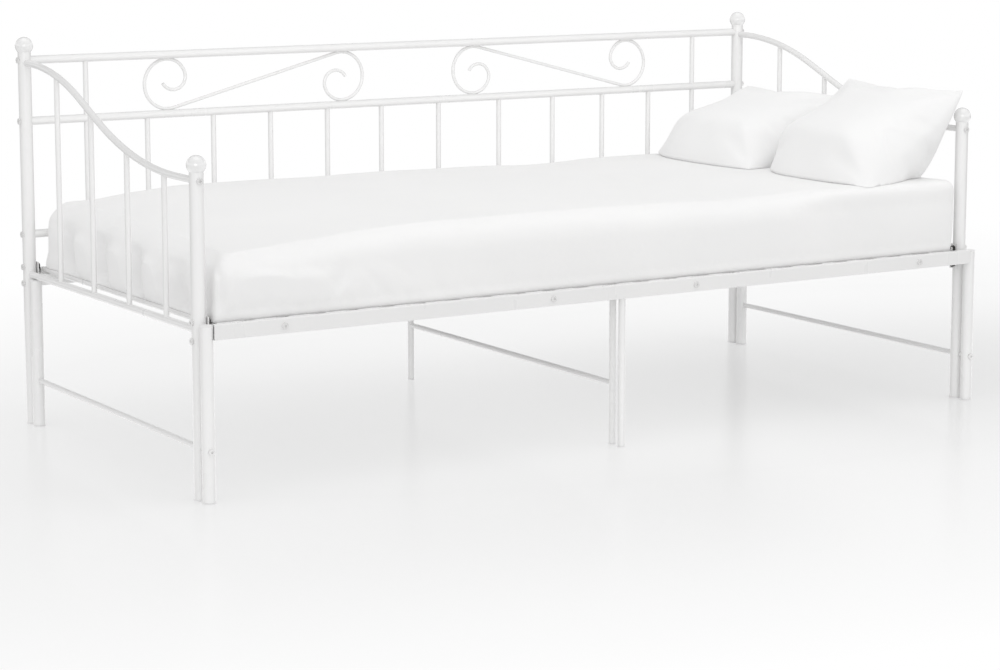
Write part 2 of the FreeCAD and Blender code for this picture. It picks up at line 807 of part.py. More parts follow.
def front_rail(name):
    side = SIDES[name]
    at = (low_end(side, "0", "post_x"), "rail_face_y + front_rail_depth / 2", "front_rail_axis")
    rail = box_tube("front_rail_depth", "front_rail_height", "box_wall", "post_x", at)
    holes = []
    for reach in BOLT_REACHES:
        start = (f"{side} * {reach}", "rail_face_y - 1", "front_rail_axis")
        holes.append(bolt_hole("front_rail_depth + 2", start, "y"))
    node(cut(rail, leg_trim("front", name), *holes), f"pull_out_front_rail_{name}")


def leg_trim(end, name):
    """The leg's outside with everything beyond the rail's end, which the rails stop at."""
    beyond_x = low_end(SIDES[name], "post_x - rail_end_inset", "post_x")
    beyond_at = (beyond_x, f"{LEG_PLACES[end]} - leg_diameter", "0")
    beyond = box(("rail_end_inset", "2 * leg_diameter", "front_rail_top + 1"), beyond_at)
    return fuse([leg_bars[end, name], beyond])


def deck_strip(name):
    """Flat bar behind the front rail that carries the sliding slats of one side."""
    side = SIDES[name]
    near = "slat_pitch / 2 - strip_margin"
    far = f"{SLAT_SPACES // 2 - 0.5} * slat_pitch + strip_margin"
    at = (low_end(side, near, far), "rail_back_y", "strip_top - strip_height")
    strip = box((f"{far} - ({near})", "strip_thickness", "strip_height"), at)
    holes = []
    for reach in BOLT_REACHES:
        start = (f"{side} * {reach}", "rail_back_y - 1", "front_rail_axis")
        holes.append(bolt_hole("strip_thickness + 2", start, "y"))
    node(cut(strip, *holes), f"deck_strip_{name}")


def crossbar(name):
    side = SIDES[name]
    at = (low_end(side, "0", "post_x"), "rear_leg_y", "crossbar_axis")
    bar = box_tube("box_depth", "box_height", "box_wall", "post_x", at)
    node(cut(bar, leg_trim("rear", name)), f"pull_out_crossbar_{name}")


for name in SIDES:
    front_rail(name)
    deck_strip(name)
    crossbar(name)

front_rail_y = "rail_face_y + front_rail_depth / 2"
front_joiner = joiner("front_rail_depth", "front_rail_height", "box_wall", front_rail_y, "front_rail_axis")
rear_joiner = joiner("box_depth", "box_height", "box_wall", "rear_leg_y", "crossbar_axis")
node(group([front_joiner, rear_joiner]), "pull_out_joiners")

moving_slats = []
slat_start = "rail_back_y + strip_thickness"
moving_slat_length = f"rear_leg_y + box_reach - ({slat_start})"
for i in range(SLAT_SPACES):
    at = (f"{i + 0.5 - SLAT_SPACES / 2} * slat_pitch", slat_start, "moving_slat_axis")
    moving_slats.append(tube("slat_diameter", "slat_wall", moving_slat_length, at, "y"))
node(group(moving_slats), "pull_out_slats")

rail_bolts = []
rail_nuts = []
for side in SIDES.values():
    for reach in BOLT_REACHES:
        x = f"{side} * {reach}"
        through = "front_rail_depth + strip_thickness + nut_height"
        rail_bolts.append(bolt((x, "rail_face_y", "front_rail_axis"), "y", 1, through))
        rail_nuts.append(nut((x, slat_start, "front_rail_axis"), "y"))
node(group(rail_bolts), "front_rail_bolts")
node(group(rail_nuts), "front_rail_nuts")


def slide_rod(name):
    """Rod between the legs of one side; it runs through the hole in the fixed front post."""
    x = f"{SIDES[name]} * post_x"
    at = (x, "front_leg_y", "slide_rod_level")
    rod = cylinder("slide_rod_diameter", "rear_leg_y - front_leg_y", at, "y")
    thread = cylinder("bolt_diameter", "leg_reach + plug_length", at, "y")
    node(cut(cut(rod, thread), leg_bars["front", name], leg_bars["rear", name]), f"slide_rod_{name}")


for name in SIDES:
    slide_rod(name)

rod_bolts = [
    bolt(
        (f"{side} * post_x", "front_leg_y - leg_reach", "slide_rod_level"),
        "y",
        1,
        "leg_diameter + plug_length",
        leg_bars["front", name],
    )
    for name, side in SIDES.items()
]
node(group(rod_bolts), "slide_rod_bolts")


# ---------------------------------------------------------------- mattress and pillows
def mattress():
    long = "2 * (post_x - post_reach - mattress_end_gap)"
    wide = "mattress_rear_y - mattress_front_y"
    body = padded_body("XY_Plane", [(long, wide)], "mattress_thickness")
    top = value("mattress_thickness")
    round_edges(body, lambda edge: abs(edge.tangentAt(edge.FirstParameter).z) > 0.99, "mattress_corner")
    round_edges(body, lambda edge: edge.BoundBox.ZMin > top - 0.01, "mattress_top_edge")
    round_edges(body, lambda edge: edge.BoundBox.ZMax < 0.01, "mattress_bottom_edge")
    place(body, ("0", "(mattress_rear_y + mattress_front_y) / 2", "mattress_bottom"))
    node(body, "mattress")


def pillow_section(sketch, length):
    """Lens between two short ends: bulged by the same amount above and below."""
    x = value(length) / 2
    end = value("pillow_edge") / 2
    crown = value("pillow_thickness") / 2
    upper = Part.Arc(Vector(-x, end), Vector(0, crown), Vector(x, end))
    lower = Part.Arc(Vector(-x, -end), Vector(0, -crown), Vector(x, -end))
    curves = [upper, Part.LineSegment(Vector(x, end), Vector(x, -end))]
    curves += [lower, Part.LineSegment(Vector(-x, -end), Vector(-x, end))]
    top, right, bottom, left = [sketch.addGeometry(curve) for curve in curves]
    starts = {}
    for number in (top, bottom):
        at_start = sketch.getPoint(number, 1).x < 0
        starts[number] = (1, 2) if at_start else (2, 1)
    joints = [
        (top, starts[top][1], right, 1),
        (right, 2, bottom, starts[bottom][1]),
        (bottom, starts[bottom][0], left, 1),
        (left, 2, top, starts[top][0]),
    ]
    for joint in joints:
        sketch.addConstraint(Sketcher.Constraint("Coincident", *joint))
    sketch.addConstraint(Sketcher.Constraint("Symmetric", right, 1, left, 1, -1, 1))
    sketch.addConstraint(Sketcher.Constraint("Symmetric", right, 2, left, 2, -1, 1))
    sketch.addConstraint(Sketcher.Constraint("Vertical", right))
    sketch.addConstraint(Sketcher.Constraint("Equal", top, bottom))
    bulge = f"((pillow_thickness - pillow_edge) / 2)"
    radius = f"(({length}) ^ 2 / 4 + {bulge} ^ 2) / (2 * {bulge})"
    rules = [
        ("long", Sketcher.Constraint("DistanceX", left, 1, right, 2, 2 * x), length),
        ("edge", Sketcher.Constraint("DistanceY", right, 2, right, 1, 2 * end), "pillow_edge"),
        ("bulge_radius", Sketcher.Constraint("Radius", top, value(radius)), radius),
    ]
    for name, rule, text in rules:
        number = sketch.addConstraint(rule)
        sketch.renameConstraint(number, name)
        sketch.setExpression("Constraints." + name, formula(text))
    return radius


def pillow(label, length, lean, y):
    """Lens-shaped pad that lies on the mattress and leans towards the right arm.

    Its lower face touches down where the lens is level, and its far edge stops short of the arm.
    """
    body = doc.addObject("PartDesign::Body", "body")
    sketch = sketch_on(body, "XZ_Plane")
    radius = pillow_section(sketch, length)
    pad = body.newObject("PartDesign::Pad", "pad")
    pad.Profile = sketch
    pad.Midplane = True
    bind(pad, Length="pillow_width")
    doc.recompute()
    half_width = value("pillow_width") / 2
    round_edges(body, lambda edge: abs(edge.CenterOfMass.y) < half_width - 0.01, "pillow_rounding")
    round_edges(body, lambda edge: abs(edge.CenterOfMass.y) > half_width - 0.01, "pillow_rounding")
    angle = f"({lean} * 1deg)"
    far_edge = f"({length}) / 2 * cos{angle} + pillow_edge / 2 * sin{angle}"
    x = f"post_x - spindle_diameter / 2 - rest_clearance - ({far_edge})"
    sag = f"{radius} - ({radius} - pillow_thickness / 2) * cos{angle}"
    z = f"mattress_top + rest_clearance + {sag}"
    place(body, (x, y, z), FreeCAD.Rotation(Vector(0, 1, 0), -value(lean)))
    node(body, label)


mattress()
rear_pillow_y = "rear_y - pillow_back_inset - pillow_width / 2"
pillow("pillow_rear", "rear_pillow_length", "rear_pillow_lean", rear_pillow_y)
front_pillow_y = f"{rear_pillow_y} - pillow_width - pillow_gap"
pillow("pillow_front", "front_pillow_length", "front_pillow_lean", front_pillow_y)


# ---------------------------------------------------------------- check and write
doc.recompute()
for item in doc.Objects:
    if "Invalid" in item.State or "Error" in item.State:
        raise RuntimeError(f"{item.Name} ({item.Label}) failed: {item.State}")
labels = [item.Label for item in nodes]
if len(set(labels)) != len(labels):
    raise RuntimeError("two sub-parts share a name")
os.makedirs("parts", exist_ok=True)
for item in nodes:
    shape = item.Shape
    if shape.isNull() or not shape.isValid() or shape.Volume <= 0:
        raise RuntimeError(f"{item.Label} has no valid shape")
for item in nodes:
    item.Shape.exportStep(f"parts/{item.Label}.step")
    print(f"{item.Label}: {len(item.Shape.Solids)} solids, {item.Shape.Volume / 1000:.1f} cm3")
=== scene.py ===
"""Looks of the pull-out daybed: soft goods, rail plugs, materials, floor, light and camera."""
import json
import math

import bpy
import numpy as np
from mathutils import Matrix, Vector, noise

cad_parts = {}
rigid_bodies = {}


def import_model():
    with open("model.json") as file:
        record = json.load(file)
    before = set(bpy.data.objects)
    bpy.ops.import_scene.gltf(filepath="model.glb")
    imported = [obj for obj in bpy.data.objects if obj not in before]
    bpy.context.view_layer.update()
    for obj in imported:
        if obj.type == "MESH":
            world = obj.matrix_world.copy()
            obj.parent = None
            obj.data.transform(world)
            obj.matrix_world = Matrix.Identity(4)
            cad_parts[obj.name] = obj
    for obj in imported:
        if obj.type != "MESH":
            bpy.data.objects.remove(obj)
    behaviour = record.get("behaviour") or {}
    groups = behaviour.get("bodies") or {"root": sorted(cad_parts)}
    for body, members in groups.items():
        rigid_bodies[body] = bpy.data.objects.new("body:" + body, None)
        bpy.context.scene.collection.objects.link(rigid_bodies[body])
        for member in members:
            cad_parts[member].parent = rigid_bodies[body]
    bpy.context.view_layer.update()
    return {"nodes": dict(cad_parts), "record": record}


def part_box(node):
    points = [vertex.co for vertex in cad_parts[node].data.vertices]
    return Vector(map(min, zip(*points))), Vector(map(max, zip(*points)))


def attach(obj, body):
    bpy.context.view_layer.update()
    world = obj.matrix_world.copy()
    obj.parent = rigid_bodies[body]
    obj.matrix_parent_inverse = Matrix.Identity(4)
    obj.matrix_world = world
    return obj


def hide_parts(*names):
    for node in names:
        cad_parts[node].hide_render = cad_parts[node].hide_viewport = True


for leftover in list(bpy.data.objects):
    bpy.data.objects.remove(leftover, do_unlink=True)
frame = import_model()
nodes = frame["nodes"]
MAIN, MOVING = "main_frame", "pull_out_frame"
WHITE = (1, 1, 1, 1)
scene = bpy.context.scene


# ------------------------------------------------------------------ shader helpers
class Nodes:
    """Builds a node tree, a node at a time."""

    def __init__(self, tree):
        self.tree = tree

    def node(self, kind, inputs=None, **settings):
        made = self.tree.nodes.new("ShaderNode" + kind)
        for key, value in settings.items():
            setattr(made, key, value)
        for key, value in (inputs or {}).items():
            self.feed(made.inputs[key], value)
        return made

    def feed(self, socket, value):
        """Links another node's output to the socket, or sets the socket's own value."""
        if hasattr(value, "is_output"):
            self.tree.links.new(value, socket)
        else:
            socket.default_value = value

    def place(self):
        return self.node("TexCoord").outputs["Object"]

    def noise(self, scale, detail=2.0, rough=0.5, stretch=None):
        spot = self.place()
        if stretch:
            spot = self.node("Mapping", {"Vector": spot, "Scale": stretch}).outputs[0]
        return self.node("TexNoise", {"Vector": spot, "Scale": scale, "Detail": detail,
                                      "Roughness": rough}).outputs["Fac"]

    def math(self, operation, *values):
        made = self.node("Math", operation=operation)
        for socket, value in zip(made.inputs, values):
            self.feed(socket, value)
        return made.outputs[0]

    def remap(self, value, low, high, source=(0.3, 0.7), **settings):
        return self.node("MapRange", {"Value": value, "From Min": source[0], "From Max": source[1],
                                      "To Min": low, "To Max": high}, **settings).outputs[0]

    def mix(self, factor, one, two):
        made = self.node("Mix", data_type="RGBA")
        colour_one, colour_two, colour_out = made.inputs[6], made.inputs[7], made.outputs[2]
        self.feed(made.inputs["Factor"], factor)
        self.feed(colour_one, one)
        self.feed(colour_two, two)
        return colour_out

    def bump(self, height, distance, strength, normal=None):
        inputs = {"Height": height, "Distance": distance, "Strength": strength}
        if normal is not None:
            inputs["Normal"] = normal
        return self.node("Bump", inputs).outputs[0]


class Shader(Nodes):
    """One node material round a Principled surface, whose sockets are named with underscores."""

    def __init__(self, name, **surface):
        self.material = bpy.data.materials.new(name)
        self.material.use_nodes = True
        super().__init__(self.material.node_tree)
        self.surface = self.tree.nodes["Principled BSDF"]
        self.set(**surface)

    def set(self, **values):
        for socket, value in values.items():
            self.feed(self.surface.inputs[socket.replace("_", " ")], value)
        return self.material


def grey(value, warm=0.0):
    return (value + warm, value, value - warm, 1.0)


def painted_steel(name, tone, gloss, slide=False, limb_shade=0.0):
    """Powder-coated tube: fine orange peel, slow drift in tone, rubbed streaks, painted limb shade.
    """
    s = Shader(name, Coat_Weight=0.35, Coat_Roughness=0.12, Specular_IOR_Level=0.5)
    drift = s.noise(5.0, 3.0)
    peel = s.noise(950.0, 2.0, 0.55)
    lumps = s.noise(140.0, 2.0)
    specks = s.noise(2600.0, 1.0)
    rubs = s.noise(60.0, 4.0, 0.6, stretch=(1.0, 0.04, 1.0) if slide else (0.2, 0.2, 0.05))
    colour = s.mix(s.remap(drift, 0.0, 1.0), grey(tone - 0.012, 0.002), grey(tone + 0.01, 0.004))
    colour = s.mix(s.remap(specks, 0.0, 0.05, source=(0.66, 0.72)), colour, grey(tone * 0.6))
    # painted shade: the tone darkens from where the tube faces the view towards its limbs
    if limb_shade:
        facing = s.node("LayerWeight", {"Blend": 0.5}).outputs["Facing"]
        colour = s.mix(s.remap(facing, 0.0, 1.0, source=(0.10, 0.45)), colour,
                       grey(tone - limb_shade, 0.003))
    rough = s.remap(rubs, gloss - 0.05, gloss + (0.16 if slide else 0.06))
    height = s.math("ADD", peel, s.math("MULTIPLY", lumps, 1.6))
    return s.set(Base_Color=colour, Roughness=rough, Normal=s.bump(height, 0.00006, 0.7))


def moulded_plastic(name, tone, gloss, coat, grain, depth):
    """Injection-moulded cap, knob or nut: sparkle-free grain, a slow swirl in tone."""
    s = Shader(name, Coat_Weight=coat, Coat_Roughness=0.04, Specular_IOR_Level=0.5)
    swirl = s.noise(32.0, 4.0, 0.55)
    fine = s.noise(grain, 3.0, 0.6)
    colour = s.mix(s.remap(swirl, 0.0, 1.0), grey(tone - 0.01, 0.001), grey(tone + 0.012, 0.003))
    return s.set(Base_Color=colour, Roughness=s.remap(fine, gloss - 0.04, gloss + 0.05),
                 Normal=s.bump(fine, depth, 0.6))


def plated_metal(name, tone, gloss, brush, warm=0.0, metallic=1.0):
    """Zinc-plated fastener: turned brushing, mottled plating, small dark pits."""
    s = Shader(name, Metallic=metallic)
    mottle = s.noise(420.0, 4.0, 0.6)
    lines = s.noise(brush, 2.0, 0.5, stretch=(1.0, 1.0, 0.06))
    pits = s.remap(s.noise(1500.0, 1.0), 0.0, 0.5, source=(0.64, 0.74))
    colour = s.mix(s.remap(mottle, 0.0, 1.0), grey(tone * 0.82, warm), grey(tone, warm))
    colour = s.mix(pits, colour, grey(tone * 0.35))
    return s.set(Base_Color=colour, Roughness=s.remap(lines, gloss - 0.08, gloss + 0.1),
                 Normal=s.bump(lines, 0.00005, 0.5))


def woven(name, tone, pitch, depth, soft, sheen, warm=0.0, slub_and_gap_shade=0.35):
    """Plain weave without unwrapping: three sets of threads, each strong where it faces out."""
    s = Shader(name, Sheen_Weight=sheen, Sheen_Roughness=0.55, Specular_IOR_Level=0.2)
    place = s.place()
    drift = s.node("TexNoise", {"Vector": place, "Scale": 14.0, "Detail": 2.0}).outputs["Color"]
    wander = s.node("VectorMath", {0: drift, 1: (pitch * 3,) * 3}, operation="MULTIPLY").outputs[0]
    spot = s.node("VectorMath", {0: place, 1: wander}, operation="ADD").outputs[0]
    ribs = [s.math("ABSOLUTE", s.math("SINE", s.math("MULTIPLY", axis, math.pi / pitch)))
            for axis in s.node("SeparateXYZ", {0: spot}).outputs]
    normal = s.node("TexCoord").outputs["Normal"]
    facing = s.node("VectorMath", {0: normal}, operation="ABSOLUTE").outputs[0]
    facing = s.node("SeparateXYZ", {0: facing}).outputs
    pairs = [s.math("MULTIPLY", s.math("MAXIMUM", ribs[a], ribs[b]), facing[c])
             for a, b, c in ((1, 2, 0), (0, 2, 1), (0, 1, 2))]
    weave = s.math("ADD", s.math("ADD", pairs[0], pairs[1]), pairs[2])
    slubs = s.noise(260.0, 3.0, 0.6, stretch=(1.0, 0.12, 0.4))
    cloudy = s.noise(3.2, 3.0, 0.5)
    fuzz = s.noise(1800.0, 2.0)
    crumple = s.noise(26.0, 4.0, 0.55)
    colour = s.mix(s.remap(cloudy, 0.0, 1.0), grey(tone - 0.012, warm * 0.5),
                   grey(tone + 0.008, warm))
    # painted shade: the cloth darkens between its threads, where the weave is low
    colour = s.mix(s.remap(weave, slub_and_gap_shade * 0.16, 0.0, source=(0.3, 1.1)), colour,
                   grey(tone * 0.8, warm))
    height = s.math("ADD", weave, s.math("MULTIPLY", s.math("ADD", slubs, fuzz), slub_and_gap_shade))
    fine = s.bump(height, depth, 0.6)
    return s.set(Base_Color=colour, Roughness=s.remap(slubs, 0.78, 0.95),
                 Normal=s.bump(crumple, soft, 0.5, fine))


MATERIALS = {
    # painted light: one white paint, lighter on tubes with shaded limbs, darker on flat rails
    "white_steel": painted_steel("white_enamel", 0.90, 0.3, limb_shade=0.11),
    "flat_steel": painted_steel("flat_enamel", 0.83, 0.3),
    "slide_steel": painted_steel("rubbed_enamel", 0.87, 0.34, slide=True, limb_shade=0.07),
    "finial_white": moulded_plastic("gloss_white_plastic", 0.86, 0.12, 0.8, 700.0, 0.00003),
    "foot_plastic": moulded_plastic("foot_white_plastic", 0.8, 0.45, 0.0, 900.0, 0.00008),
    "cap_plastic": moulded_plastic("cap_white_plastic", 0.83, 0.38, 0.0, 1100.0, 0.00006),
    "nut_black": moulded_plastic("nut_black_plastic", 0.03, 0.4, 0.0, 800.0, 0.00008),
    "bolt_steel": plated_metal("bolt_zinc", 0.88, 0.30, 1400.0, warm=0.004, metallic=0.25),
    "plug_zinc": plated_metal("plug_zinc", 0.55, 0.4, 1100.0, warm=0.004),
    "mattress_cover": woven("mattress_cotton", 0.875, pitch=0.0016, depth=0.0003, soft=0.0016,
                            sheen=0.25, warm=0.003),
    "pillow_case": woven("pillow_cotton", 0.88, pitch=0.0011, depth=0.0002, soft=0.0012,
                         sheen=0.3, warm=0.002, slub_and_gap_shade=0.25),
}
SLOT_OF = {p["node"]: p["material_slot"] for p in frame["record"]["subparts"]}


def look_of(name):
    """The record's slot, except the front rails' darker copy of the paint and the rubbed slide
    rods.
    """
    if "front_rail" in name and not name.endswith(("nuts", "bolts")):
        return "flat_steel"
    if name.startswith("slide_rod_") and not name.endswith("bolts"):
        return "slide_steel"
    return SLOT_OF[name]


for name, thing in nodes.items():
    for material_slot in thing.material_slots:
        material_slot.material = MATERIALS[look_of(name)]


# ------------------------------------------------------------------ mesh helpers
def mesh_object(name, points, faces, look):
    data = bpy.data.meshes.new(name)
    data.from_pydata([tuple(p) for p in points], [], [tuple(f) for f in faces])
    data.update()
    made = bpy.data.objects.new(name, data)
    scene.collection.objects.link(made)
    data.materials.append(MATERIALS[look])
    data.polygons.foreach_set("use_smooth", [True] * len(data.polygons))
    return made


def stack_faces(ring, levels, base=0):
    """Faces of a closed stack of equal rings of points, capped at its first and its last ring."""
    starts = [base + level * ring for level in range(levels)]
    faces = [(a + k, a + (k + 1) % ring, b + (k + 1) % ring, b + k)
             for a, b in zip(starts, starts[1:]) for k in range(ring)]
    return faces + [tuple(starts[0] + k for k in reversed(range(ring))),
                    tuple(starts[-1] + k for k in range(ring))]


def coordinates(thing):
    flat = np.zeros(len(thing.data.vertices) * 3)
    thing.data.vertices.foreach_get("co", flat)
    return flat.reshape(-1, 3)


def put(thing, points):
    thing.data.vertices.foreach_set("co", np.asarray(points, float).ravel())
    thing.data.update()


def apply_modifiers(thing):
    evaluated = thing.evaluated_get(bpy.context.evaluated_depsgraph_get())
    baked = bpy.data.meshes.new_from_object(evaluated)
    old = thing.data
    thing.modifiers.clear()
    thing.data = baked
    bpy.data.meshes.remove(old)


def subdivide(thing):
    modifier = thing.modifiers.new("subdivision", "SUBSURF")
    modifier.levels = modifier.render_levels = 1
    apply_modifiers(thing)


def remesh(thing, size):
    modifier = thing.modifiers.new("remesh", "REMESH")
    modifier.mode = "VOXEL"
    modifier.voxel_size = size
    modifier.use_smooth_shade = True
    apply_modifiers(thing)


def relax(thing, factor, times):
    modifier = thing.modifiers.new("relax", "SMOOTH")
    modifier.factor, modifier.iterations = factor, times
    apply_modifiers(thing)


def ease(low, high, value):
    """0 below low, 1 above high, and a smooth step between them."""
    t = np.clip((value - low) / (high - low), 0.0, 1.0)
    return t * t * (3 - 2 * t)


def hump(value, middle, width):
    return np.exp(-((value - middle) / width) ** 2)


def soft_floor(value, floor, depth):
    """Squeezes what comes below floor + depth into that depth, so that nothing ends below floor."""
    edge = floor + depth
    return np.where(value < edge, floor + depth * np.exp((value - floor - depth) / depth), value)


def waves(points, scale, seed):
    """Smooth seeded noise from -1 to 1 at each point."""
    shift = Vector((seed * 7.3, seed * 3.1, seed * 5.7))
    return np.array([noise.noise(Vector(p) * scale + shift) for p in points])


def outline(half_x, half_y, corner, count=14):
    """Rounded rectangle, counter-clockwise, with its outward normals."""
    places, outward = [], []
    for turn, (sx, sy) in enumerate(((1, 1), (-1, 1), (-1, -1), (1, -1))):
        for step in range(count + 1):
            angle = math.pi / 2 * (turn + step / count)
            out = (math.cos(angle), math.sin(angle))
            places.append((sx * (half_x - corner) + corner * out[0],
                           sy * (half_y - corner) + corner * out[1]))
            outward.append(out)
    return places, outward


def cloth(thing, pressure, frames, cap, stiff, bending, grow, pinned=None):
    """Blows the closed shell up with Cloth, and limits how far each point may move."""
    before = coordinates(thing)
    modifier = thing.modifiers.new("cloth", "CLOTH")
    settings = modifier.settings
    settings.quality = 6
    settings.mass = 0.3
    settings.air_damping = 1.0
    settings.tension_stiffness = settings.compression_stiffness = stiff
    settings.shear_stiffness = stiff / 3
    settings.bending_stiffness = bending
    settings.tension_damping = settings.compression_damping = settings.shear_damping = 5.0
    settings.use_pressure = True
    settings.uniform_pressure_force = pressure
    settings.shrink_min = -grow
    settings.effector_weights.gravity = 0.0
    if pinned is not None:
        group = thing.vertex_groups.new(name="pinned")
        for index in np.nonzero(pinned)[0]:
            group.add([int(index)], 1.0, "REPLACE")
        settings.vertex_group_mass = "pinned"
    modifier.point_cache.frame_start, modifier.point_cache.frame_end = 1, frames
    for number in range(1, frames + 1):
        scene.frame_set(number)
    apply_modifiers(thing)
    scene.frame_set(1)
    moved = coordinates(thing) - before
    length = np.linalg.norm(moved, axis=1, keepdims=True)
    put(thing, before + moved * cap * np.tanh(length / cap) / np.maximum(length, 1e-9))


# ------------------------------------------------------------------ mattress
FOLDS = (  # foot end: place along it, depth (inwards where negative) and width
    (0.318, -0.020, 0.032), (0.235, 0.008, 0.035), (0.143, -0.021, 0.032), (0.05, 0.012, 0.035),
    (-0.048, -0.025, 0.030), (-0.12, 0.010, 0.035), (-0.27, -0.010, 0.04))
FOLD_SLANT, FOLD_STRENGTH = 0.25, 1.8
HILL_ROOM = 0.004       # how far the hills of its top may rise above its CAD box
PILLOW_END = 0.6        # the pillows lie beyond this x, where nothing may rise above the box


def rounded_block(low, high):
    """The mattress before its cover is blown up: a closed shell a little inside its box."""
    room_x, room_y, corner = 0.006, 0.002, 0.030
    top, foot = 0.056, 0.007            # radii of the upper and the lower edge
    centre, half, deep = (low + high) / 2, (high - low) / 2, high[2] - low[2]
    places, outward = outline(half[0] - room_x, half[1] - room_y, corner)
    profile = [(foot * (1 - math.sin(a)), foot * (1 - math.cos(a)))
               for a in np.linspace(0, math.pi / 2, 4)]
    profile += [(0.0, deep * t) for t in (0.3, 0.45, 0.6)]
    profile += [(top * (1 - math.cos(a)), deep - top * (1 - math.sin(a)))
                for a in np.linspace(0, math.pi / 2, 9)]
    points = [(centre[0] + x - inset * n[0], centre[1] + y - inset * n[1], low[2] + rise)
              for inset, rise in profile for (x, y), n in zip(places, outward)]
    made = mesh_object("mattress_soft", points, stack_faces(len(places), len(profile)),
                       "mattress_cover")
    remesh(made, 0.012)
    relax(made, 0.5, 3)
    return made


def square_lower(y, z, face, sign, bottom):
    """Makes a lower long edge nearly square."""
    reach, power = 0.026, 14
    inward = np.clip(1 - np.abs(y - face) / reach, 0, 1)
    downward = np.clip(1 - (z - bottom) / reach, 0, 1)
    near = (inward > 0) & (downward > 0)
    longest = np.maximum((inward ** power + downward ** power) ** (1 / power), 1e-6)
    grow = np.hypot(inward, downward) / longest
    return (np.where(near, face - sign * reach * (1 - np.minimum(1, inward * grow)), y),
            np.where(near, bottom + reach * (1 - np.minimum(1, downward * grow)), z))


def square(one, two, face_one, face_two, reach, power, where=1.0):
    """Pushes a rounded edge out to the corner of its two faces, each given as (place, sign)."""
    a = np.clip(1 - (face_one[0] - one) * face_one[1] / reach, 0, 1)
    b = np.clip(1 - (face_two[0] - two) * face_two[1] / reach, 0, 1)
    grow = np.hypot(a, b) / np.maximum((a ** power + b ** power) ** (1 / power), 1e-6)
    more = 1 + (grow - 1) * where * (a > 0) * (b > 0)
    pushed_one = face_one[0] - face_one[1] * reach * (1 - np.minimum(1, a * more))
    pushed_two = face_two[0] - face_two[1] * reach * (1 - np.minimum(1, b * more))
    return np.where(a > 0, pushed_one, one), np.where(b > 0, pushed_two, two)


def square_edges(x, y, z, low, high, head):
    """Squares the lower long edges, the top of the head end and the edges of the foot end."""
    for sign, face in ((-1, low[1]), (1, high[1])):
        y, z = square_lower(y, z, face, sign, low[2])
    left, right, front = (low[0], -1), (high[0], 1), (low[1], -1)
    bottom, top = (low[2], -1), (high[2], 1)
    x, z = square(x, z, right, top, reach=0.060, power=2.8)
    y, z = square(y, z, front, top, reach=0.060, power=5.0, where=head)
    lower = 1 - ease(0.5, 0.8, (z - low[2]) / (high[2] - low[2]))
    x, y = square(x, y, left, front, reach=0.045, power=4.0, where=lower)
    x, z = square(x, z, left, bottom, reach=0.045, power=6.0)
    return x, y, z


def drape_foot_end(x, y, z, rise, low, high):
    """Hanging folds between the arm's spindles, slanting to the front as they fall."""
    end = ease(high[0] * 0.9, high[0], -x)
    y_fold = y - FOLD_SLANT * (z - low[2] - 0.07)
    folds = sum(depth * hump(y_fold, place, width) for place, depth, width in FOLDS)
    x = x - end * folds * ease(0.0, 0.12, rise) * (1 - ease(0.1, 0.85, rise)) * FOLD_STRENGTH
    # the bottom of both ends is drawn in a little, away from the corners
    x = x * (1 - 0.005 * ease(0.85, 1.0, np.abs(x)) * (1 - ease(0.0, 0.5, rise)) ** 2
             * (1 - ease(0.38, 0.46, np.abs(y))))
    # the corner of the cover is tucked in at the front
    tuck = hump(x, low[0] + 0.014, 0.006) - 0.4 * hump(x, low[0] + 0.032, 0.010)
    front = ease(0.40, 0.46, -y)
    y = y + front * tuck * 0.008 * ease(0.05, 0.3, rise) * (1 - ease(0.62, 0.9, rise))
    return x, y


def shape_top(x, y, z, upper, head):
    """Low at the foot end, with gentle hills, and even at the head."""
    back = ease(-0.45, 0.40, y)
    drop = (1 - back) * 0.032 * ease(0.45, 0.95, -x) + back * 0.022 * ease(0.68, 1.0, -x)
    drop += 0.006 * hump(x, 0.33, 0.12) - 0.003 * hump(x, -0.14, 0.12)
    hills = (waves(np.stack([x, y, z * 0.3], 1), 2.6, 1) * 0.0045
             + waves(np.stack([x, y, z], 1), 7.0, 2) * 0.0016)
    sink = drop + 0.004 - 0.005 * back - hills * (0.9 - 0.6 * back)
    lift = head * 0.001 + back * 0.006 * hump(x, -0.58, 0.16)
    return z - upper * sink * (1 - head) + upper * lift


def shape_front(x, y, z, rise, high):
    """Faint upright ripples, calmer towards the head, over a lower part that is drawn in."""
    side = np.sin(np.pi * np.clip(rise, 0, 1)) ** 0.8
    ripple = waves(np.stack([x * 5.0 + z * 1.2, y * 0.2, z * 1.3], 1), 1.6, 3)
    calm = 1 - 0.75 * ease(-0.5, 0.1, x)
    under = np.clip(1 - rise / 0.6, 0, 1) ** 2
    y = y + ease(0.38, 0.45, -y) * (side * (0.0015 + 0.0030 * ripple) * calm + 0.006 * under)
    x = x - 0.014 * ease(high[0] - 0.03, high[0], x) * np.clip(1 - rise / 0.2, 0, 1) ** 2
    return x, y


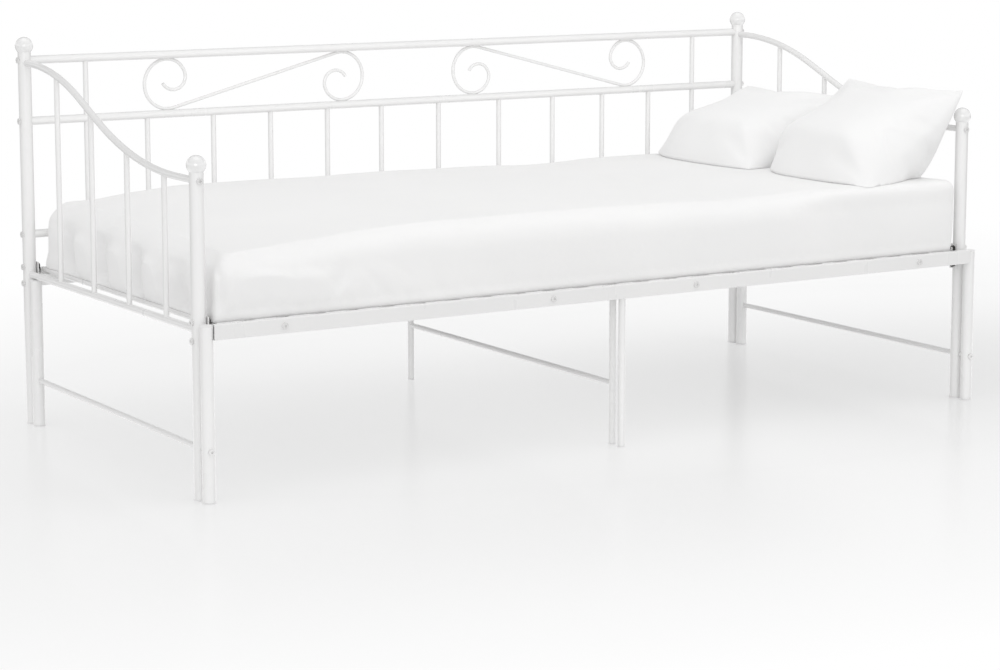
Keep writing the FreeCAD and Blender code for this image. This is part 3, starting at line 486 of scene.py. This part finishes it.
def mattress():
    """A foam mattress in a loose cover: soft top edge, bulging sides, folds at its foot end."""
    low, high = (np.array(corner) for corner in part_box("mattress"))
    made = rounded_block(low, high)
    flat = coordinates(made)
    cloth(made, pressure=2.5, frames=16, cap=0.010, stiff=12.0, bending=0.8, grow=0.012,
          pinned=flat[:, 2] < low[2] + 0.012)
    # the cover hangs loose at the foot end only
    blown = coordinates(made)
    put(made, blown + (flat - blown) * 0.9 * ease(-0.75, -0.1, flat[:, :1]))
    subdivide(made)
    x, y, z = coordinates(made).T
    head = ease(0.45, 0.62, x)
    x, y, z = square_edges(x, y, z, low, high, head)
    rise = (z - low[2]) / (high[2] - low[2])
    x, y = drape_foot_end(x, y, z, rise, low, high)
    z = shape_top(x, y, z, ease(0.35, 1.0, rise), head)
    x, y = shape_front(x, y, z, rise, high)
    p = np.clip(np.stack([x, y, z], 1), low, high + (0, 0, HILL_ROOM))
    p[:, 2] = np.where(x > PILLOW_END, np.minimum(p[:, 2], high[2]), p[:, 2])
    put(made, p)
    relax(made, 0.3, 1)
    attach(made, MAIN)
    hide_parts("mattress")
    return made


# ------------------------------------------------------------------ pillows
def sewn_sheets(name, length, width):
    """Two sheets sewn together round their edge, already a little apart in the middle."""
    count, apart = 54, 0.044
    line = np.linspace(-1, 1, count + 1)
    points, index = [], {}
    for sheet in (1, -1):
        for i, s in enumerate(line):
            for j, t in enumerate(line):
                edge = i in (0, count) or j in (0, count)
                if edge and sheet < 0:
                    index[sheet, i, j] = index[1, i, j]
                    continue
                index[sheet, i, j] = len(points)
                full = (1 - s ** 4) * (1 - t ** 6)
                height = 0.0 if edge else apart * math.sqrt(full) * sheet
                points.append((s * length / 2, t * width / 2, height))
    faces = []
    for i in range(count):
        for j in range(count):
            quad = [(i, j), (i + 1, j), (i + 1, j + 1), (i, j + 1)]
            faces.append([index[1, a, b] for a, b in quad])
            faces.append([index[-1, a, b] for a, b in reversed(quad)])
    return mesh_object(name, points, faces, "pillow_case")


def stuff(made, length, width, seed):
    flat = coordinates(made)
    p = flat.copy()
    p[:, 2] += waves(p, 9.0, seed) * 0.002
    put(made, p)
    grid = flat[:, :2] / (length / 2, width / 2)
    cloth(made, pressure=6.0, frames=24, cap=0.06, stiff=14.0, bending=3.0, grow=0.003)
    relax(made, 0.5, 3)
    # most of the height comes from an even form, the rest and the wavy edges from the cloth
    even, blown, half_height = 0.80, 0.20, 0.06
    full = (1 - np.abs(grid[:, 0]) ** 2.6) * (1 - np.abs(grid[:, 1]) ** 3.4)
    full = np.clip(full, 0, 1) ** 0.60
    p = coordinates(made)
    p = p / np.abs(p).max(0)
    hold = np.column_stack([0.5 * ease(-1.0, -0.2, grid[:, 0]), np.full(len(grid), 0.8)])
    put(made, np.column_stack([
        (grid + (p[:, :2] - grid) * hold) * (length / 2, width / 2),
        (np.sign(flat[:, 2]) * full * even + p[:, 2] * blown) * half_height]))


def corner_creases(s, t, seed):
    """Short creases that run in from the four corners."""
    creases = np.zeros(len(s))
    for side_s, side_t, phase in ((1, -1, 0.4), (-1, -1, 1.7), (1, 1, 2.6), (-1, 1, 0.9)):
        across, along = 1 - side_s * s, 1 - side_t * t
        rays = np.sin(np.arctan2(across, along) * 8 + phase + seed)
        creases += rays * hump(np.hypot(across, along), 0.55, 0.28)
    return creases


def top_of(thing, x, y):
    """Height of the piece under this place, with a hair of clearance."""
    hit, place, _, _ = thing.ray_cast(Vector((x, y, 1.0)), Vector((0.0, 0.0, -1.0)))
    return place.z + 0.0005 if hit else 0.0


def pillow(bed, node, seed, middle, far_in, near_in, head, sag):
    """A stuffed pillow that lies on the bed and leans on the arm.

    middle, far_in and near_in are the distances of its lower edge from the box, in its middle
    and at its two corners. head is the distance of its upper corners from the top of the box,
    and sag is how far its near end may hang below the box, over the bed's rounded edge.
    """
    low, high = (np.array(corner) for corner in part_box(node))
    size = high - low
    length, width = math.hypot(size[0], size[2]) * 0.96, size[1]
    made = sewn_sheets(node + "_soft", length, width)
    stuff(made, length, width, seed)
    subdivide(made)
    p = coordinates(made)
    # s runs from the lower to the upper edge, t from the near to the far one, n through it
    reach = np.abs(p).max(0)
    s, t = p[:, 0] / reach[0], p[:, 1] / reach[1]
    n = np.where(p[:, 2] > 0, p[:, 2] / p[:, 2].max(), p[:, 2] / -p[:, 2].min())
    # the lower edge lies on the mattress and bulges between its corners, the upper meets the arm
    far, near = np.clip(t, 0, 1), np.clip(-t, 0, 1)
    floor, wall = low[2] + 0.0001 - sag * ease(0.78, 1.02, near), high[0] - 0.001
    foot_x = low[0] + middle + (far_in - middle) * far ** 3 + (near_in - middle) * near ** 3
    foot_z = floor + 0.0003 + 0.006 * far ** 6
    head_x = wall - 0.004 - 0.012 * far ** 4
    head_z = high[2] - head - 0.008 * (1 - t ** 4)
    a = (s + 1) / 2
    dx, dz = head_x - foot_x, head_z - foot_z
    rise = a - np.sin(np.pi * a) * (0.30 * near ** 3 + 0.12 * far ** 3)
    long = np.hypot(dx, dz)
    # the filling sinks into the corner between the mattress and the arm
    above = 0.052 + 0.034 * hump(s, -0.55, 0.6)
    under = 0.050 + 0.085 * hump(s, 0.1, 0.6)
    off = np.where(n > 0, above, under) * n
    off += 0.004 * corner_creases(s, t, seed) * np.sign(n) * ease(0.05, 0.5, np.abs(n))
    lean = dz / long * np.where(n > 0, ease(-1.2, -0.4, s), 1.0)
    x = foot_x + a * dx - off * lean
    y = (low[1] + high[1]) / 2 + t * size[1] * 0.4985
    z = soft_floor(foot_z + rise * dz + off * dx / long, floor, 0.0008)
    x = -soft_floor(-x, -wall, 0.010)
    x = soft_floor(x, low[0], 0.008)
    p = np.clip(np.stack([x, y, z], 1), low - (0, 0, sag), high)
    p[:, 2] = np.maximum(p[:, 2], [top_of(bed, x, y) for x, y in p[:, :2]])
    put(made, p)
    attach(made, MAIN)
    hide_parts(node)


# ------------------------------------------------------------------ rail plugs
def rail_plugs():
    """Moulded plugs in the open ends of the pull-out frame's front rail, clear of its legs."""
    low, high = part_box("pull_out_front_rail_left")
    leg_low, leg_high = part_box("pull_out_leg_front_left")
    axis = ((leg_low[0] + leg_high[0]) / 2, (leg_low[1] + leg_high[1]) / 2)
    radius = (leg_high[0] - leg_low[0]) / 2 + 0.0004
    wall, corner = 0.0014, 0.0052       # the rail's wall with some clearance, the plug's corners
    middle = ((low[1] + high[1]) / 2, (low[2] + high[2]) / 2)
    half = ((high[1] - low[1]) / 2 - wall, (high[2] - low[2]) / 2 - wall)
    # a stem, a rounded rim and a shallow dish: inset from the rail's wall, depth under the face
    profile = ((0.0, 0.0085), (0.0, 0.0016), (0.0003, 0.0007), (0.0010, 0.0002), (0.0018, 0.0),
               (0.0026, 0.0002), (0.0031, 0.0008), (0.0036, 0.0010), (0.0050, 0.0009))

    def face(y):
        """Distance from the middle of the bed to the plug's face at this depth."""
        clear = -axis[0] - math.sqrt(max(radius ** 2 - (y - axis[1]) ** 2, 0.0))
        return min(-low[0] - 0.0002, clear)

    places, outward = outline(half[0], half[1], corner, 6)
    points, faces = [], []
    for sign in (-1, 1):
        quads = stack_faces(len(places), len(profile), len(points))
        faces += [quad if sign > 0 else quad[::-1] for quad in quads]
        for inset, depth in profile:
            for (y, z), n in zip(places, outward):
                y, z = middle[0] + y - inset * n[0], middle[1] + z - inset * n[1]
                points.append((sign * (face(y) - depth), y, z))
    made = mesh_object("front_rail_plugs", points, faces, "cap_plastic")
    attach(made, MOVING)


rail_plugs()
bed = mattress()
pillow(bed, "pillow_rear", seed=11, middle=0.006, far_in=0.045, near_in=0.03, head=0.022, sag=0.0)
pillow(bed, "pillow_front", seed=12, middle=0.018, far_in=0.088, near_in=0.045, head=0.002,
       sag=0.011)


# ------------------------------------------------------------------ floor, light and camera
def paper_floor():
    """A pale floor that turns into the white surroundings, with a painted shadow round the bed's
    head end.
    """
    s = Shader("floor_paper", Specular_IOR_Level=0.3, Emission_Color=WHITE)
    path = s.node("LightPath").outputs

    def distance(location, scale):
        """Distance from the middle of an oval on the floor."""
        spot = s.node("Mapping", {"Vector": s.place(), "Location": location, "Scale": scale})
        return s.node("VectorMath", {0: spot.outputs[0]}, operation="LENGTH").outputs["Value"]

    # painted shadow: the floor glows less in an oval round the head end, and more for glossy rays
    painted_shadow = s.remap(distance((-0.92, 0.10, 0.0), (0.66, 0.8, 1.0)), 0.32, 0.42, source=(0.0, 1.0),
                    interpolation_type="SMOOTHSTEP")
    s.set(Base_Color=s.mix(s.remap(s.noise(0.7, 3.0), 0.0, 1.0), grey(0.35), grey(0.37)),
          Roughness=s.remap(s.noise(260.0, 3.0), 0.20, 0.26),
          Emission_Strength=s.math("ADD", painted_shadow, s.math("MULTIPLY", path["Is Glossy Ray"], 0.68)))
    # far away it is plain white for the camera and dark for what reflects it
    power = s.math("ADD", s.remap(path["Is Camera Ray"], 0.9, 1.0, source=(0.0, 1.0)),
                   s.remap(path["Is Glossy Ray"], 0.0, -0.5, source=(0.0, 1.0)))
    glow = s.node("Emission", {"Color": WHITE, "Strength": power}).outputs[0]
    fade = s.remap(distance((-0.33, -0.25, 0.0), (0.55, 1.0, 1.0)), 0.0, 1.0, source=(1.1, 2.35))
    blend = s.node("MixShader", {0: fade, 1: s.surface.outputs[0], 2: glow})
    s.feed(s.tree.nodes["Material Output"].inputs["Surface"], blend.outputs[0])
    bpy.ops.mesh.primitive_circle_add(vertices=96, radius=60.0, fill_type="NGON")
    floor = bpy.context.object
    floor.name = "floor"
    floor.data.materials.append(s.material)


def surroundings():
    """White for the camera, a soft glow from the front left, and more contrast for glossy rays."""
    world = bpy.data.worlds.new("studio")
    scene.world = world
    world.use_nodes = True
    w = Nodes(world.node_tree)
    w.tree.nodes.clear()

    def background(strength):
        return w.node("Background", {"Color": WHITE, "Strength": strength}).outputs[0]

    toward = w.node("TexCoord").outputs["Generated"]
    up = w.node("SeparateXYZ", {"Vector": toward}).outputs["Z"]
    front_left = w.node("VectorMath", {0: toward, 1: (-0.42, -0.82, 0.38)},
                        operation="DOT_PRODUCT").outputs["Value"]
    side = w.remap(front_left, 0.62, 1.10, source=(-1.0, 1.0))
    height = w.remap(up, 0.98, 1.02, source=(-0.1, 0.9))
    ceiling = w.remap(up, 0.24, 1.0, source=(0.88, 0.95))
    horizon = w.remap(up, 1.0, 0.2, source=(0.22, 0.34))
    path = w.node("LightPath").outputs
    shown = background(w.math("MULTIPLY", side, height))
    for ray, other in (("Is Glossy Ray", background(w.math("MAXIMUM", ceiling, horizon))),
                       ("Is Camera Ray", background(1.0))):
        shown = w.node("MixShader", {0: path[ray], 1: shown, 2: other}).outputs[0]
    w.feed(w.node("OutputWorld").inputs["Surface"], shown)


def softbox(name, place, aim, size, power, diffuse=True):
    """A rectangular lamp that lights either the diffuse or the glossy side of things."""
    light = bpy.data.lights.new(name, "AREA")
    light.shape, light.energy = "RECTANGLE", power
    light.size, light.size_y = size
    made = bpy.data.objects.new(name, light)
    scene.collection.objects.link(made)
    made.location = place
    made.rotation_euler = (Vector(aim) - Vector(place)).to_track_quat("-Z", "Y").to_euler()
    made.visible_diffuse, made.visible_glossy = diffuse, not diffuse


def photo_camera():
    """The photo's camera, as fitted to the posts, rails and finials."""
    heading, dip = 0.5572, math.radians(8.249)
    camera = bpy.data.cameras.new("camera")
    eye = bpy.data.objects.new("camera", camera)
    scene.collection.objects.link(eye)
    scene.camera = eye
    camera.sensor_fit, camera.sensor_width = "HORIZONTAL", 36.0
    camera.lens, camera.shift_y, camera.clip_end = 95.54, -0.08, 200.0
    eye.location = (-3.3147, -5.2772, 1.2802)
    look = Vector((math.sin(heading) * math.cos(dip), math.cos(heading) * math.cos(dip),
                   -math.sin(dip)))
    eye.rotation_euler = look.to_track_quat("-Z", "Y").to_euler()


paper_floor()
surroundings()
softbox("overhead", (0.4, -1.2, 3.8), (0.0, 0.0, 0.4), (3.0, 2.0), 16.0)
softbox("front_right", (2.6, -3.6, 2.4), (0.2, -0.2, 0.5), (1.6, 1.6), 4.0)
softbox("behind_camera", (-4.2, -6.6, 1.5), (0.0, 0.0, 0.5), (3.6, 2.0), 90.0, diffuse=False)
photo_camera()
scene.view_settings.view_transform = "Standard"
